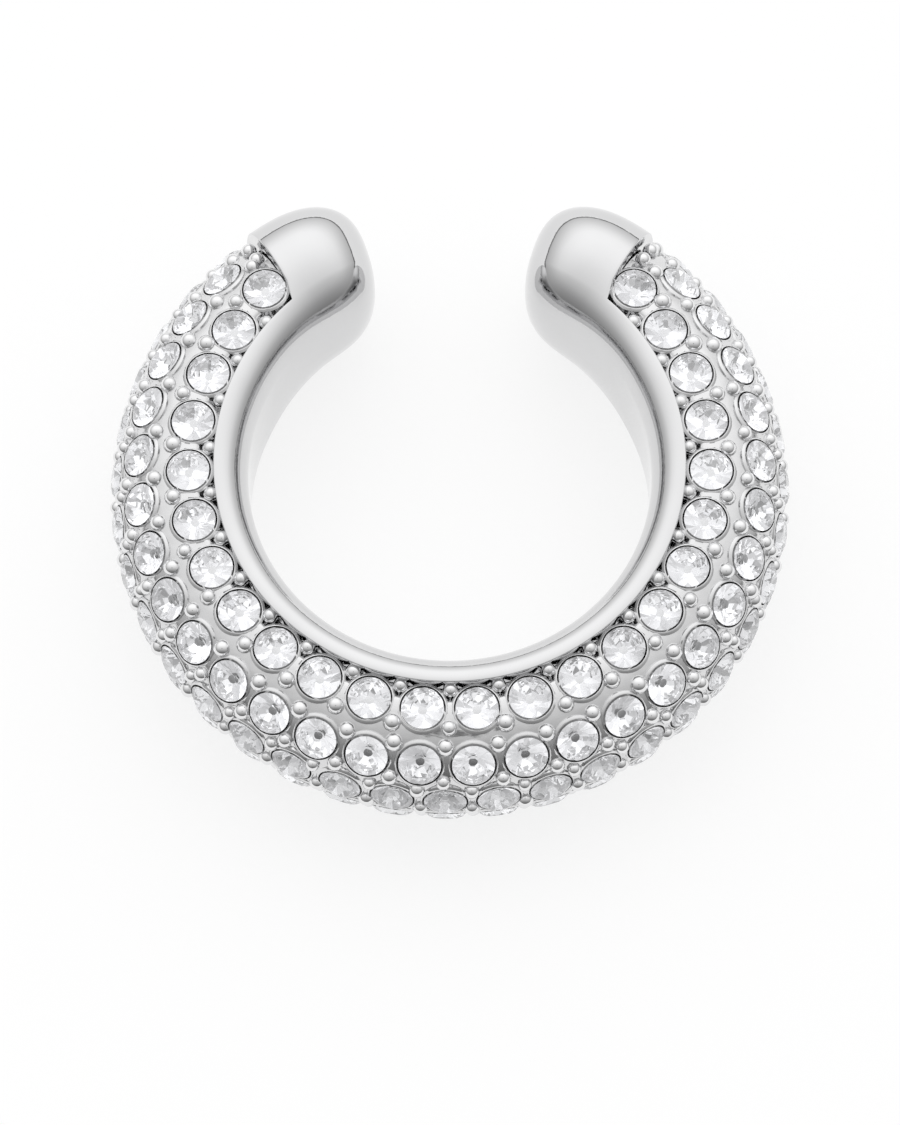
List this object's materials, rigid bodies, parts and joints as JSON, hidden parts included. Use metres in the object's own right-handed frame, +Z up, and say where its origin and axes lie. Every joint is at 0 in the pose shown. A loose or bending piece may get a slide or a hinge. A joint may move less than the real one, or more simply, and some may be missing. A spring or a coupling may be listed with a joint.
{
  "type": "ear cuff",
  "caption": "Open C-shaped ear cuff: a cast D-section body with a polished inner band and rounded polished ends, its outer side paved with round cut stones held by beads.",
  "frame": {"origin": "centre of the cuff's box on the surface it lies on", "axes": "+Z up, along the axis of the C, which lies on its side; the mouth opens towards +Y; +X to the right as seen from the closed side"},
  "size_m": [0.0156, 0.0146, 0.0041],
  "materials": {
    "polished_metal": "mirror polished rhodium plate",
    "set_metal": "bright rhodium plate, cut round the stones",
    "crystal": "clear cut stone with a mirrored back"
  },
  "bodies": {
    "root": {"cuff_body": "polished_metal", "pave_field": "crystal"}
  },
  "joints": []
}
